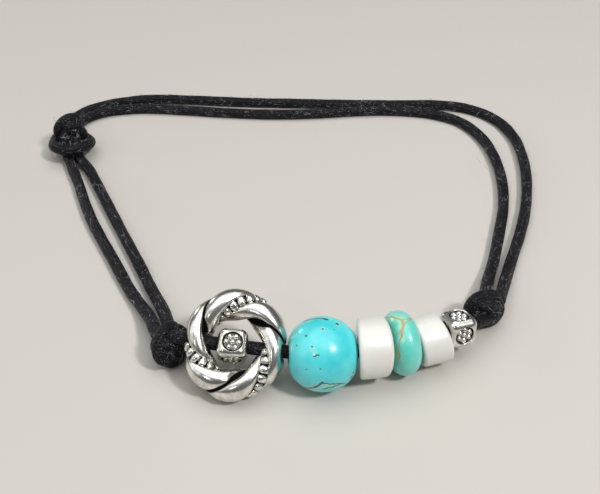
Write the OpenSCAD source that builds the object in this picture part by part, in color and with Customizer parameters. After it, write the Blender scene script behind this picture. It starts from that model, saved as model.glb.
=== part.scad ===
// Beaded thread anklet, laid flat on a table: a black waxed cord loop with a short row of beads
// between two knots, closed at the back left by a knot that has been pushed through a loop.
// Millimetres. +Z is up, the bead row lies along -Y, and z = 0 is the table.

/* [Cord] */
// Diameter of the waxed cotton cord
cord_d = 1.8; // [1.6:0.05:1.8]

/* [Wreath frame] */
// Width of the cast ring, measured along the cord
ring_w = 13.9; // [13.5:0.1:13.9]
// Height of the cast ring, measured across the cord
ring_h = 15; // [14.6:0.1:15.2]
// Thickness of the cast ring from front to back
ring_t = 4.6; // [4.2:0.1:4.6]
// Width of the window inside the ring, along the cord
window_w = 6.3; // [6.2:0.1:7]
// Height of the window inside the ring, across the cord
window_h = 6.4; // [6.2:0.1:7]
// How far the smooth lobes stand above the grooves between them
lobe_rise = 0.8; // [0.5:0.05:0.85]
// How far the small beads of a beaded row stand above the grooves
pearl_rise = 0.5; // [0.3:0.05:0.6]

/* [Cube beads] */
// Size of the cube bead that sits in the ring's window
cube_s = 3.85; // [3.7:0.05:4]
// Size of the cube bead at the end of the row
end_cube_s = 4.1; // [3.9:0.05:4.1]
// Radius of the cubes' rounded edges
cube_edge = 0.7; // [0.5:0.05:0.7]
// Diameter of the sunken disc on each side face
disc_d = 2.5; // [2.3:0.05:2.5]
// Depth of the sunken disc
disc_depth = 0.25; // [0.15:0.05:0.3]
// Diameter of each raised dot in the disc
dot_d = 0.6; // [0.5:0.02:0.62]
// Diameter of the hole through each metal bead
metal_bore_d = 2.6; // [2.5:0.05:2.7]

/* [Stone beads] */
// Largest diameter of the turquoise barrel bead
barrel_d = 9.95; // [9.5:0.05:10]
// Length of the turquoise barrel bead
barrel_len = 9.2; // [8.8:0.1:9.2]
// Diameter of the large white bead
white_large_d = 8.2; // [7.9:0.1:8.4]
// Diameter of the turquoise rondelle
rondelle_d = 8.8; // [8.4:0.1:8.8]
// Diameter of the small white bead
white_small_d = 6.8; // [6.5:0.1:7]
// Radius of the worn rims on the white beads
white_edge = 0.45; // [0.2:0.05:0.6]
// Radius of the rondelle's rounded rim
rondelle_rim = 2.5; // [2.3:0.1:2.8]
// Diameter of the hole through each stone bead
stone_bore_d = 3; // [2.95:0.05:3.1]

/* [Knots] */
// Thickness of the knot at the left of the beads
knot_left_d = 5.2; // [5:0.1:5.3]
// Thickness of the knot at the right of the beads
knot_right_d = 5; // [4.9:0.1:5.2]
// Thickness of the knot that closes the anklet
closure_knot_d = 5.1; // [4.9:0.1:5.2]

/* [Hidden] */
$fn = 64;

cord_r = cord_d / 2;
floor_z = 0.9; // height of a cord's centre line where it lies on the table

// Where each bead sits: its centre, then how far its hole turns from +X towards +Y, how far the
// hole's right end is raised, and how far the bead is rolled about its hole, in degrees
wreath_at = [[-6.25, -32.6, 5.55], -8, -3, 35];
cube_in_frame_at = [[-6.55, -32.85, 5.5], -2, -5, 24];
barrel_at = [[5.25, -33.8, 5.05], 3, -2.5, 0];
white_large_at = [[11.73, -32.64, 5.06], 10, -2, 0];
rondelle_at = [[15.8, -31.3, 4.5], 14.5, 1, 0];
white_small_at = [[19.75, -30.2, 3.95], 16.5, 2, 0];
cube_end_at = [[23.75, -28.35, 4.35], 20, -5, -10];
white_large_len = 3.65;
rondelle_len = 3.7;
white_small_len = 3.9;

// Route of the cord through the beads, from the left knot to the right knot
bead_route = [
    [-13.2, -31.5, 5.65], [-12.4, -31.85, 5.85], [-9.7, -32.4, 5.7], [-4.7, -33, 5.45],
    [0.3, -33.65, 5.3], [4.8, -33.7, 5.1], [9.7, -33.2, 4.95], [13.5, -32.2, 4.7],
    [17.7, -30.85, 4.2], [21.7, -29.3, 4.3], [25.7, -27.6, 4.15], [26.5, -26.9, 3.8],
    [27.3, -26.1, 3.4],
];

// Route of the outer strand, from the left knot to the closure knot
outer_route = [
    [-17.8, -27.1, 2.9], [-19, -24, 2.1], [-20.8, -20.7, 1.3], [-23.3, -16.5, floor_z],
    [-26.3, -10.7, floor_z], [-31.9, 0.1, floor_z], [-36.1, 10.5, floor_z], [-37.6, 13.9, floor_z],
    [-38.6, 16.5, floor_z], [-39.5, 18.2, 1.4], [-39.8, 19.3, 2.1],
];

// Route of the inner strand, beside the outer one
inner_route = [
    [-16.1, -26, 2.9], [-17.1, -22.9, 2.1], [-18.5, -19.6, 1.3], [-20.4, -15.6, floor_z],
    [-22.7, -10.7, floor_z], [-27.6, -0.7, floor_z], [-32.4, 9.3, floor_z], [-34.7, 13.9, floor_z],
    [-36.7, 16.9, floor_z], [-37.6, 18.5, 1.4], [-37.9, 19.6, 2.1],
];

// Route of the folded cord: out of the right knot, round the back, under and round the neck of
// the closure knot, and back beside itself to the right knot
loop_route = [
    [29.1, -20, 2.5], [29.9, -17.1, 1.7], [31.1, -13.5, 1.1], [32.5, -9.5, floor_z],
    [34.4, -3.1, floor_z], [36.2, 3.5, floor_z], [37.2, 10.5, floor_z], [37.2, 17.7, floor_z],
    [35.9, 24.3, floor_z], [32.7, 29.8, floor_z], [27.3, 32.8, floor_z], [20.3, 33.9, floor_z],
    [12.8, 33.7, floor_z], [4.8, 32.8, floor_z], [-3.7, 32.6, floor_z], [-12.2, 33.2, floor_z],
    [-20.7, 34.2, floor_z], [-28.2, 34.7, floor_z], [-33.7, 33.9, floor_z], [-37.1, 32.3, floor_z],
    [-39.1, 29.9, floor_z], [-39.3, 27.1, 1.1], [-37.6, 24.2, 1.45], [-35.7, 21.3, 2.05],
    [-35.9, 18.4, 3], [-38.5, 16.5, 3.3], [-41.2, 17.8, 3.1], [-42.25, 21.2, 2],
    [-42.2, 24.7, 1.4], [-41.7, 28.2, 1], [-40.5, 31.6, floor_z], [-37.9, 34.6, floor_z],
    [-33.3, 36.9, floor_z], [-26.7, 38.2, floor_z], [-18.7, 37.9, floor_z], [-10.7, 37.2, floor_z],
    [-2.7, 36.8, floor_z], [5.3, 36.5, floor_z], [13.3, 36.2, floor_z], [20.8, 36.1, floor_z],
    [28.3, 36.1, floor_z], [34.7, 34.7, floor_z], [39.5, 30.7, floor_z], [41.9, 24.5, floor_z],
    [42.2, 16.9, floor_z], [41.3, 9.5, floor_z], [39.6, 2.3, floor_z], [37.3, -4.5, floor_z],
    [34.8, -10.7, floor_z], [33.3, -14.7, 1.2], [32.2, -17.7, 1.8], [31.3, -20.2, 2.5],
];

// Centre of each knot
knot_left_at = [-15.3, -30, 2.65];
knot_right_at = [28.3, -23, 2.75];
closure_at = [-39.1, 21.9, 4.35];

cord_sides = 8;
stub_len = 2.2; // length of the cord ends that belong to a knot

// Relief of the wreath frame. Angles round the ring are in degrees.
lobe_repeat = 120; // two smooth lobes and one beaded row
row_half = 10; // half the width of a beaded row
lobe_span = 50; // width of one smooth lobe
ring_start = 130; // turns the pattern to its place round the ring
pearls_round = 13; // small beads of a row in one turn round the section
pearl_steps = 4; // rows of points along each small bead
section_steps = pearls_round * pearl_steps;
lobe_fractions = [0.08, 0.28, 0.5, 0.72, 0.92];

function unit(v) = v / norm(v);

// Direction of travel at each point of a route: the mean of the legs on either side
function travel(route, i) =
    i == 0 ? unit(route[1] - route[0])
    : i == len(route) - 1 ? unit(route[i] - route[i - 1])
    : unit(unit(route[i] - route[i - 1]) + unit(route[i + 1] - route[i]));

// One ring of the cord's surface: a flat-bottomed octagon square to the direction of travel
function cord_ring(centre, dir) =
    let (
        side = unit(cross(dir, [0, 0, 1])),
        up = cross(side, dir),
        corner_r = cord_r / cos(180 / cord_sides)
    )
    [for (k = [0:cord_sides - 1])
        let (a = (k + 0.5) * 360 / cord_sides)
        centre + corner_r * (cos(a) * side + sin(a) * up)];

// Cord swept along a route
module cord(route) {
    n = cord_sides;
    last = len(route) - 1;
    points = [for (i = [0:last]) each cord_ring(route[i], travel(route, i))];
    walls = [for (i = [0:last - 1], k = [0:n - 1], half = [0, 1])
        let (a = i * n + k, b = i * n + (k + 1) % n)
        half == 0 ? [a, b, b + n] : [a, b + n, a + n]];
    start_cap = [[for (k = [n - 1:-1:0]) k]];
    end_cap = [[for (k = [0:n - 1]) last * n + k]];
    polyhedron(points = points, faces = concat(walls, start_cap, end_cap), convexity = 8);
}

// Put a bead in its place, its hole along X until it is turned
module placed(pose) {
    translate(pose[0])
        rotate([0, -pose[2], pose[1]])
            rotate([pose[3], 0, 0])
                children();
}

// Hole along a bead
module bore(diameter, length) {
    rotate([0, 90, 0])
        cylinder(d = diameter, h = length + 2, center = true);
}

// Turned bead from a half profile, its axis along X
module turned_bead(length) {
    difference() {
        rotate([0, 90, 0])
            rotate_extrude()
                intersection() {
                    children();
                    translate([0, -length])
                        square([20, 2 * length]);
                }
        bore(stone_bore_d, length);
    }
}

// Barrel: a ball whose two ends are ground nearly flat
module barrel_profile() {
    end_r = 10;
    intersection() {
        circle(d = barrel_d);
        translate([0, barrel_len / 2 - end_r])
            circle(r = end_r, $fn = 128);
        translate([0, end_r - barrel_len / 2])
            circle(r = end_r, $fn = 128);
    }
}

// Short cylinder with rounded rims
module rim_profile(diameter, length, edge) {
    r = diameter / 2;
    translate([0, edge - length / 2])
        square([r, length - 2 * edge]);
    translate([0, -length / 2])
        square([r - edge, length]);
    for (side = [-1, 1])
        translate([r - edge, side * (length / 2 - edge)])
            circle(r = edge);
}

// Flat ends and a fat rounded rim
module rondelle_profile(length) {
    core_r = rondelle_d / 2 - rondelle_rim;
    intersection() {
        union() {
            translate([core_r, 0])
                circle(r = rondelle_rim);
            translate([0, -length / 2])
                square([core_r, length]);
        }
        translate([0, -length / 2])
            square([rondelle_d, length]);
    }
}

// Square with rounded corners
module soft_square(size, edge) {
    square([size, size - 2 * edge], center = true);
    square([size - 2 * edge, size], center = true);
    for (x = [-1, 1], y = [-1, 1])
        translate([x * (size / 2 - edge), y * (size / 2 - edge)])
            circle(r = edge, $fn = 32);
}

// Seven raised dots on the floor of a disc: one in the middle and six round it
module disc_dots(size) {
    pitch = (disc_d - dot_d) / 2 - 0.22;
    translate([0, 0, size / 2 - disc_depth - 0.05])
        for (k = [0:6])
            rotate([0, 0, 60 * k])
                translate([k == 6 ? 0 : pitch, 0, 0])
                    sphere(d = dot_d, $fn = 24);
}

// Cube bead with rounded edges and a sunken, dotted disc on the four faces round the hole
module cube_bead(size) {
    difference() {
        intersection() {
            linear_extrude(size, center = true)
                soft_square(size, cube_edge);
            rotate([90, 0, 0])
                linear_extrude(size, center = true)
                    soft_square(size, cube_edge);
            rotate([0, 90, 0])
                linear_extrude(size, center = true)
                    soft_square(size, cube_edge);
        }
        for (k = [0:3])
            rotate([90 * k, 0, 0])
                translate([0, 0, size / 2 - disc_depth])
                    cylinder(d = disc_d, h = 1);
        bore(metal_bore_d, size);
    }
    for (k = [0:3])
        rotate([90 * k, 0, 0])
            disc_dots(size);
}

// Columns of the ring's surface within one repeat, as angles from the middle of a beaded row
lobe_angles = [for (f = lobe_fractions) f * lobe_span];
columns = concat(
    [-row_half, -row_half / 2, 0, row_half / 2, row_half],
    [for (a = lobe_angles) row_half + a],
    [row_half + lobe_span],
    [for (a = lobe_angles) row_half + lobe_span + a]
);
column_count = len(columns);
repeats = 360 / lobe_repeat;

// How far round the ring a line of the relief has run at angle s of the section. s starts at the
// window's edge, goes over the front to the outer edge and comes home across the back. One turn
// of the section makes one whole repeat, a little more of it on the front than on the back.
function sweep(s) = lobe_repeat * s / 360 + 3 * (1 - cos(s)) + 6 * sin(s);

// Height of the relief above the grooves, by angle across the pattern and step round the section
function relief(across, step) =
    abs(across) <= row_half
    ? pearl_rise * sqrt(max(0, 1 - pow(across / row_half, 2) - pow(2 * (step % pearl_steps) / pearl_steps - 1, 2)))
    : let (t = ((across - row_half) % lobe_span) / lobe_span)
      lobe_rise * sqrt(max(0, 1 - pow(2 * t - 1, 2)));

// Point of the ring's surface in its own frame: x along the cord, y up the ring, z to its front
function ring_point(across, turn, step) =
    let (
        s = 360 * step / section_steps,
        angle = across + lobe_repeat * turn - sweep(s) + ring_start,
        rise = relief(across, step) - lobe_rise,
        mid_x = (ring_w + window_w) / 4,
        mid_y = (ring_h + window_h) / 4,
        half_x = (ring_w - window_w) / 4 + rise,
        half_y = (ring_h - window_h) / 4 + rise,
        half_z = ring_t / 2 + rise
    )
    [cos(angle) * (mid_x - half_x * cos(s)), sin(angle) * (mid_y - half_y * cos(s)), half_z * sin(s)];

// Twisted ring of smooth lobes and beaded rows, cast in one piece
module ring_body() {
    n = column_count * repeats;
    points = [for (step = [0:section_steps - 1], turn = [0:repeats - 1], a = columns)
        ring_point(a, turn, step)];
    // After one turn of the section each line has run one repeat on
    function at(step, k) =
        step == section_steps ? (k + n - column_count) % n : step * n + k % n;
    faces = [for (step = [0:section_steps - 1], k = [0:n - 1], half = [0, 1])
        half == 0 ? [at(step, k), at(step, k + 1), at(step + 1, k + 1)]
        : [at(step, k), at(step + 1, k + 1), at(step + 1, k)]];
    polyhedron(points = points, faces = faces, convexity = 10);
}

// One turn of cord round a knot
module wrap(knot_d, tilt, shift) {
    translate([0, 0, shift])
        rotate([tilt, 0, 0])
            rotate_extrude($fn = 48)
                translate([knot_d / 2 - cord_r, 0])
                    circle(r = cord_r, $fn = 32);
}

// Cord end that leaves a knot, its flat end square to the route that it meets
module stub(tip, next) {
    dir = unit(next - tip);
    translate(tip - dir * stub_len)
        rotate([0, acos(dir.z), atan2(dir.y, dir.x)])
            cylinder(r = cord_r, h = stub_len - 0.04, $fn = 32);
}

// Tight knot along the line from one cord to another: wraps that cross round a core
module knot(at, towards, knot_d, shifts) {
    dir = unit(towards);
    translate(at)
        rotate([0, acos(dir.z), atan2(dir.y, dir.x)]) {
            sphere(d = knot_d - cord_r);
            for (k = [0:len(shifts) - 1])
                wrap(knot_d, k % 2 == 0 ? 20 : -18, shifts[k]);
        }
}

module wreath_frame() {
    color("silver")
        placed(wreath_at)
            difference() {
                ring_body();
                bore(metal_bore_d, ring_w);
            }
}

module cube_bead_in_frame() {
    color("silver")
        placed(cube_in_frame_at)
            cube_bead(cube_s);
}

module barrel_bead() {
    color("turquoise")
        placed(barrel_at)
            turned_bead(barrel_len)
                barrel_profile();
}

module white_bead_large() {
    color("ivory")
        placed(white_large_at)
            turned_bead(white_large_len)
                rim_profile(white_large_d, white_large_len, white_edge);
}

module rondelle_bead() {
    color("mediumaquamarine")
        placed(rondelle_at)
            turned_bead(rondelle_len)
                rondelle_profile(rondelle_len);
}

module white_bead_small() {
    color("ivory")
        placed(white_small_at)
            turned_bead(white_small_len)
                rim_profile(white_small_d, white_small_len, white_edge);
}

module cube_bead_end() {
    color("silver")
        placed(cube_end_at)
            cube_bead(end_cube_s);
}

module bead_cord() {
    color("dimgray")
        cord(bead_route);
}

module knot_left() {
    color("black") {
        knot(knot_left_at, [-0.5, 0.87, 0], knot_left_d, [-1.6, -0.5, 0.6, 1.7]);
        stub(outer_route[0], outer_route[1]);
        stub(inner_route[0], inner_route[1]);
        stub(bead_route[0], bead_route[1]);
    }
}

module knot_right() {
    first = len(loop_route) - 1;
    last = len(bead_route) - 1;
    color("black") {
        knot(knot_right_at, [0.25, 1, 0], knot_right_d, [-1.4, -0.5, 0.4, 1.3]);
        stub(loop_route[0], loop_route[1]);
        stub(loop_route[first], loop_route[first - 1]);
        stub(bead_route[last], bead_route[last - 1]);
    }
}

module closure_knot() {
    last = len(outer_route) - 1;
    color("black") {
        knot(closure_at, [-0.2, 1, 0.35], closure_knot_d, [-0.9, 0, 0.9]);
        stub(outer_route[last], outer_route[last - 1]);
        stub(inner_route[last], inner_route[last - 1]);
    }
}

module strand_outer() {
    color("dimgray")
        cord(outer_route);
}

module strand_inner() {
    color("dimgray")
        cord(inner_route);
}

module loop_cord() {
    color("dimgray")
        cord(loop_route);
}

wreath_frame();
cube_bead_in_frame();
barrel_bead();
white_bead_large();
rondelle_bead();
white_bead_small();
cube_bead_end();
bead_cord();
knot_left();
knot_right();
closure_knot();
strand_outer();
strand_inner();
loop_cord();
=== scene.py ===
"""Beaded thread anklet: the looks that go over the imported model.

The layout is that of a Blender add-on. Shapes are worked out in millimetres in the model's frame
and put into the mesh in metres. +Z is up, z = 0 is the table, and the row of beads runs along X
on the -Y side.
"""

import math
from types import SimpleNamespace

import bpy
import numpy as np
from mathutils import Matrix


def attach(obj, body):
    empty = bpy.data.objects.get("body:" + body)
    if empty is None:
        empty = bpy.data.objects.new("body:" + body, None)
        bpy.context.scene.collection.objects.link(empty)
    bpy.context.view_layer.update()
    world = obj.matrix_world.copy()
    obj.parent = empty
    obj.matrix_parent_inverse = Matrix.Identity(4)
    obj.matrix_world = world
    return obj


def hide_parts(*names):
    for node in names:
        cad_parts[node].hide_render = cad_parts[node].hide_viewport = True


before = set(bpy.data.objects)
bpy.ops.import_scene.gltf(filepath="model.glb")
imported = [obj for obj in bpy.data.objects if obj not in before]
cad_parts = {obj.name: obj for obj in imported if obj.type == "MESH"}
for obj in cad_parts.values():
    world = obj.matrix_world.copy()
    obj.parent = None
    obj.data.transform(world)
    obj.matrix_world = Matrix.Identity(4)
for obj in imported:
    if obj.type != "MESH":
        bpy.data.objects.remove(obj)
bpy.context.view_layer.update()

bl_info = {
    "name": "Beaded thread anklet",
    "version": (1, 0, 0),
    "blender": (4, 5, 0),
    "location": "View3D > Sidebar > Anklet",
    "description": "Waxed thread, knots, silver ring, cubes and stones of a beaded anklet",
    "category": "Add Mesh",
}

MM = 0.001
FLOOR_Z = 0.9  # height of a thread's centre line where it lies on the table
THREAD_SIDES = 24
CAP_RINGS = 4  # rings in the rounded cap at each end of a thread
PATH_STEP = 0.4  # between the rings of a thread
KNOT_STEP = 0.3  # between the rings of a knot's turns


def laid(*points):
    """A route in which a point without a height lies on the table."""
    return [point if len(point) == 3 else (*point, FLOOR_Z) for point in points]


# Routes of the threads, the same points as in part.scad, in millimetres
BEAD_ROUTE = [
    (-13.2, -31.5, 5.65), (-12.4, -31.85, 5.85), (-9.7, -32.4, 5.7), (-4.7, -33, 5.45),
    (0.3, -33.65, 5.3), (4.8, -33.7, 5.1), (9.7, -33.2, 4.95), (13.5, -32.2, 4.7),
    (17.7, -30.85, 4.2), (21.7, -29.3, 4.3), (25.7, -27.6, 4.15), (26.5, -26.9, 3.8),
    (27.3, -26.1, 3.4),
]
OUTER_ROUTE = laid(
    (-17.8, -27.1, 2.9), (-19, -24, 2.1), (-20.8, -20.7, 1.3), (-23.3, -16.5), (-26.3, -10.7),
    (-31.9, 0.1), (-36.1, 10.5), (-37.6, 13.9), (-38.6, 16.5), (-39.5, 18.2, 1.4),
    (-39.8, 19.3, 2.1),
)
INNER_ROUTE = laid(
    (-16.1, -26, 2.9), (-17.1, -22.9, 2.1), (-18.5, -19.6, 1.3), (-20.4, -15.6), (-22.7, -10.7),
    (-27.6, -0.7), (-32.4, 9.3), (-34.7, 13.9), (-36.7, 16.9), (-37.6, 18.5, 1.4),
    (-37.9, 19.6, 2.1),
)
LOOP_ROUTE = laid(
    (29.1, -20, 2.5), (29.9, -17.1, 1.7), (31.1, -13.5, 1.1), (32.5, -9.5), (34.4, -3.1),
    (36.2, 3.5), (37.2, 10.5), (37.2, 17.7), (35.9, 24.3), (32.7, 29.8), (27.3, 32.8),
    (20.3, 33.9), (12.8, 33.7), (4.8, 32.8), (-3.7, 32.6), (-12.2, 33.2), (-20.7, 34.2),
    (-28.2, 34.7), (-33.7, 33.9), (-37.1, 32.3), (-39.1, 29.9),
    # Round the neck of the closure knot
    (-39.3, 27.1, 1.1), (-37.6, 24.2, 1.45), (-35.7, 21.3, 2.05), (-35.9, 18.4, 3),
    (-38.5, 16.5, 3.3), (-41.2, 17.8, 3.1), (-42.25, 21.2, 2), (-42.2, 24.7, 1.4),
    (-41.7, 28.2, 1),
    (-40.5, 31.6), (-37.9, 34.6), (-33.3, 36.9), (-26.7, 38.2), (-18.7, 37.9), (-10.7, 37.2),
    (-2.7, 36.8), (5.3, 36.5), (13.3, 36.2), (20.8, 36.1), (28.3, 36.1), (34.7, 34.7),
    (39.5, 30.7), (41.9, 24.5), (42.2, 16.9), (41.3, 9.5), (39.6, 2.3), (37.3, -4.5),
    (34.8, -10.7), (33.3, -14.7, 1.2), (32.2, -17.7, 1.8), (31.3, -20.2, 2.5),
)
# One long fibre that stands off the loop
STRAY_FIBRE = [(33.8, 17.2, 1.5), (33.9, 14.6, 2.2), (34.9, 11.2, 2.6), (36.6, 8.4, 2.6),
               (38.7, 7.8, 2.2)]

# Where each bead sits: centre, then yaw, lift of the right end and roll about the hole, degrees
WREATH_AT = ((-6.25, -32.6, 5.55), -8, -3, 35)
CUBE_IN_FRAME_AT = ((-6.55, -32.85, 5.5), -2, -5, 24)
CUBE_END_AT = ((23.75, -28.35, 4.35), 20, -5, -10)
BARREL_AT = ((5.25, -33.8, 5.05), 3, -2.5, 0)
WHITE_LARGE_AT = ((11.73, -32.64, 5.06), 10, -2, 0)
RONDELLE_AT = ((15.8, -31.3, 4.5), 14.5, 1, 0)
WHITE_SMALL_AT = ((19.75, -30.2, 3.95), 16.5, 2, 0)
KNOT_LEFT_AT = (-15.3, -30, 2.65)
KNOT_RIGHT_AT = (28.3, -23, 2.75)
CLOSURE_AT = (-39.1, 21.9, 4.35)


# Colours and meshes


def linear(colour):
    """An sRGB hex colour as linear RGBA: c / 12.92 near black, and ((c + 0.055) / 1.055)^2.4
    above it."""
    parts = [int(colour[i : i + 2], 16) / 255 for i in (1, 3, 5)]
    return [c / 12.92 if c <= 0.04045 else ((c + 0.055) / 1.055) ** 2.4 for c in parts] + [1.0]


def tint(colour, name, description):
    """A colour property with an sRGB hex default."""
    return bpy.props.FloatVectorProperty(name=name, description=description, subtype="COLOR",
                                         default=linear(colour), size=4, min=0, max=1)


def length(default, name, description, low, high):
    """A size property, given in millimetres and kept in metres."""
    return bpy.props.FloatProperty(name=name, description=description, subtype="DISTANCE",
                                   unit="LENGTH", precision=5, default=default * MM,
                                   min=low * MM, max=high * MM)


def chosen(group):
    """The values of a group of settings by name, with its lengths in millimetres."""
    values = {}
    for name in group.__annotations__:
        value = getattr(group, name)
        is_length = group.bl_rna.properties[name].unit == "LENGTH"
        values[name] = round(value / MM, 6) if is_length else value
    return SimpleNamespace(**values)


def unit(vectors):
    """Vectors scaled to length one."""
    return vectors / np.linalg.norm(vectors, axis=-1, keepdims=True)


def smooth(low, high, value):
    """0 at low, 1 at high, and 3t^2 - 2t^3 between. Low may be the larger."""
    t = np.clip((value - low) / (high - low), 0, 1)
    return t * t * (3 - 2 * t)


def placed(points, pose):
    """Points rolled about X, lifted about Y, turned about Z, then moved to the centre."""
    centre, *degrees = pose
    (cy, sy), (cl, sl), (cr, sr) = [(math.cos(a), math.sin(a)) for a in map(math.radians, degrees)]
    about_z = np.array([[cy, -sy, 0], [sy, cy, 0], [0, 0, 1]])
    about_y = np.array([[cl, 0, -sl], [0, 1, 0], [sl, 0, cl]])
    about_x = np.array([[1, 0, 0], [0, cr, -sr], [0, sr, cr]])
    return points @ (about_z @ about_y @ about_x).T + np.array(centre)


def quads(rows, columns, wrap_rows=False, wrap_columns=True, shift=0):
    """Faces of a grid, one quad to each cell. shift is how far the columns have run on when the
    rows come round."""
    r, c = np.meshgrid(np.arange(rows if wrap_rows else rows - 1),
                       np.arange(columns if wrap_columns else columns - 1), indexing="ij")

    def at(row, column):
        column = column % columns
        column = np.where(row == rows, (column + shift) % columns, column)
        return (row % rows) * columns + column

    corners = [at(r, c), at(r, c + 1), at(r + 1, c + 1), at(r + 1, c)]
    return np.stack(corners, axis=-1).reshape(-1, 4)


def close_ends(faces, rows, columns):
    """The faces of a tube-like grid with its first and last rows shut by strips of quads."""
    k = np.arange(0, columns // 2 - 1)
    first = np.stack([k, k + 1, columns - 2 - k, columns - 1 - k], axis=-1)
    last = (first + (rows - 1) * columns)[:, ::-1]
    return np.vstack([faces, first, last])


def joined(parts):
    """Several (points, faces) pairs as one pair."""
    starts = np.cumsum([0] + [len(points) for points, _ in parts[:-1]])
    return (np.concatenate([points for points, _ in parts]),
            np.concatenate([faces + start for (_, faces), start in zip(parts, starts)]))


def make_mesh(name, points, faces, material, node=None, values=None, uv=None):
    """A smooth-shaded object from points in millimetres and an array of faces of equal size.
    Faces are turned outwards when the signed volume under them is negative. values are named
    numbers, one a point, and uv is a pair of numbers a point with the width of each after which
    it starts again."""
    corners = points[faces]
    signed = 0.0
    for k in range(1, faces.shape[1] - 1):
        signed += np.einsum("ij,ij->", corners[:, 0], np.cross(corners[:, k], corners[:, k + 1]))
    if signed < 0:
        faces = faces[:, ::-1]
    mesh = bpy.data.meshes.new(name)
    mesh.from_pydata((points * MM).tolist(), [], faces.tolist())
    mesh.polygons.foreach_set("use_smooth", np.ones(len(faces), bool))
    for key, numbers in (values or {}).items():
        layer = mesh.attributes.new(key, "FLOAT", "POINT")
        layer.data.foreach_set("value", np.asarray(numbers, np.float32).ravel())
    if uv is not None:
        pairs, period = uv
        loops = pairs[faces].copy()
        for axis in (0, 1):
            if period[axis]:
                part = loops[..., axis]
                ahead = part.max(axis=1, keepdims=True) - part > period[axis] / 2
                loops[..., axis] = part + ahead * period[axis]
        layer = mesh.uv_layers.new(name="UVMap")
        layer.data.foreach_set("uv", loops.reshape(-1).astype(np.float32))
    mesh.materials.append(material)
    mesh.update()
    obj = bpy.data.objects.new(name, mesh)
    bpy.context.collection.objects.link(obj)
    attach(obj, "root")
    if node:
        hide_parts(node)
    return obj


# Paths and tubes


def smooth_path(route, step):
    """Points every step along a Catmull-Rom curve through the route: on each leg a cubic whose
    end slopes are half the chord between the neighbours."""
    p = np.asarray(route, float)
    p = np.vstack([2 * p[0] - p[1], p, 2 * p[-1] - p[-2]])
    a, b, c, d = p[:-3, None], p[1:-2, None], p[2:-1, None], p[3:, None]
    t = np.linspace(0, 1, 24, endpoint=False)[None, :, None]
    legs = 0.5 * (2 * b + (c - a) * t + (2 * a - 5 * b + 4 * c - d) * t**2
                  + (3 * b - a - 3 * c + d) * t**3)
    return evenly(np.vstack([legs.reshape(-1, 3), p[-2]]), step)


def evenly(points, step):
    """The same line with its points step apart."""
    run = np.concatenate([[0], np.cumsum(np.linalg.norm(np.diff(points, axis=0), axis=1))])
    at = np.linspace(0, run[-1], max(4, int(round(run[-1] / step)) + 1))
    return np.stack([np.interp(at, run, points[:, k]) for k in range(3)], axis=1)


def line_length(points):
    """Length of a line of points."""
    return float(np.linalg.norm(np.diff(points, axis=0), axis=1).sum())


def frames(path, up):
    """Direction, side and upward vectors at each point of a path: the side is square to the
    direction and to up."""
    direction = unit(np.gradient(path, axis=0))
    side = unit(np.cross(direction, up))
    return direction, side, np.cross(side, direction)


def tube(path, radius, up, ends=0.6):
    """Closed round tube: p + r (cos a side + sin a top) about each point p of the path, where r
    is one number or one a point, with a rounded cap as long as the given share of r at each end.
    Gives points, faces, UV in millimetres along and round, and the way once round."""
    radius = np.broadcast_to(np.asarray(radius, float), (len(path),)).copy()
    direction, side, top = frames(path, up)
    cap = np.linspace(0, 1, CAP_RINGS + 1)[:-1]
    cap_r = np.sqrt(1 - (1 - cap) ** 2)
    cap_r[0] = 0.03  # nearly a point, and shut by close_ends
    first = path[0] - direction[0] * (1 - cap)[:, None] * radius[0] * ends
    last = path[-1] + direction[-1] * (1 - cap[::-1])[:, None] * radius[-1] * ends
    line = np.vstack([first, path, last])
    radius = np.concatenate([cap_r * radius[0], radius, cap_r[::-1] * radius[-1]])
    pick = np.clip(np.arange(len(line)) - CAP_RINGS, 0, len(path) - 1)
    angle = np.linspace(0, 2 * np.pi, THREAD_SIDES, endpoint=False) - np.pi / 2
    ring = (np.cos(angle)[None, :, None] * side[pick][:, None]
            + np.sin(angle)[None, :, None] * top[pick][:, None])
    points = line[:, None] + ring * radius[:, None, None]
    run = np.concatenate([[0], np.cumsum(np.linalg.norm(np.diff(line, axis=0), axis=1))])
    around = (angle + np.pi / 2) * radius[len(radius) // 2]
    pairs = np.stack(np.meshgrid(run, around, indexing="ij"), axis=-1).reshape(-1, 2)
    faces = close_ends(quads(len(line), THREAD_SIDES), len(line), THREAD_SIDES)
    return points.reshape(-1, 3), faces, pairs, around[1] * THREAD_SIDES


# Materials


def add_node(material, kind, inputs=None, output=0, **settings):
    """Adds a node of a kind, with its settings, and each input filled with a value or a link.
    Gives one of its outputs."""
    tree = material.node_tree
    node = tree.nodes.new(f"ShaderNode{kind}")
    for name, value in settings.items():
        setattr(node, name, value)
    for socket, value in (inputs or {}).items():
        if isinstance(value, bpy.types.NodeSocket):
            tree.links.new(value, node.inputs[socket])
        else:
            node.inputs[socket].default_value = value
    return None if output is None else node.outputs[output]


def start_material(name):
    """A material with an empty tree."""
    material = bpy.data.materials.new(name)
    material.use_nodes = True
    material.node_tree.nodes.clear()
    return material


def finish_material(material, inputs):
    """The surface shader and the output."""
    surface = add_node(material, "BsdfPrincipled", inputs)
    add_node(material, "OutputMaterial", {"Surface": surface}, output=None)
    return material


# In the materials, a Mix node's sockets 6 and 7 are its two colours and output 2 is the result.
# A noise of scale n has n lumps to the metre.


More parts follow.
